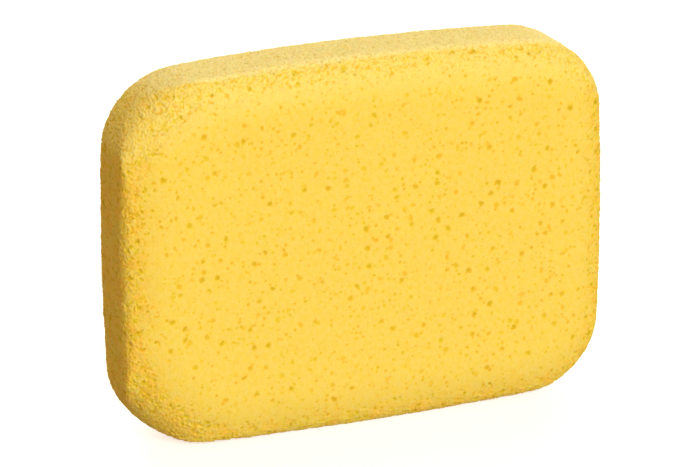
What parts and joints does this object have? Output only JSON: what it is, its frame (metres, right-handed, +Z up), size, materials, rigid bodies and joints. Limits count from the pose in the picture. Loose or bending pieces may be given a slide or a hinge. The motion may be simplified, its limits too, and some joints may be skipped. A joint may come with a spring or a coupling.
{
  "type": "grout sponge",
  "caption": "Thick rectangular open-cell foam sponge with large round corners, a flat working face and softly rounded rims, standing on a long edge.",
  "frame": {"origin": "centre of the footprint on the surface that the block stands on, under the middle of the foot edge", "axes": "+X along the block's length, +Y through its thickness from the working face to the back face, +Z up from the long edge that it stands on"},
  "size_m": [0.19, 0.042, 0.142],
  "materials": {
    "yellow_foam": "yellow open-cell polyurethane foam with a cut, finely pored surface"
  },
  "bodies": {
    "root": {"sponge_block": "yellow_foam"}
  },
  "joints": []
}
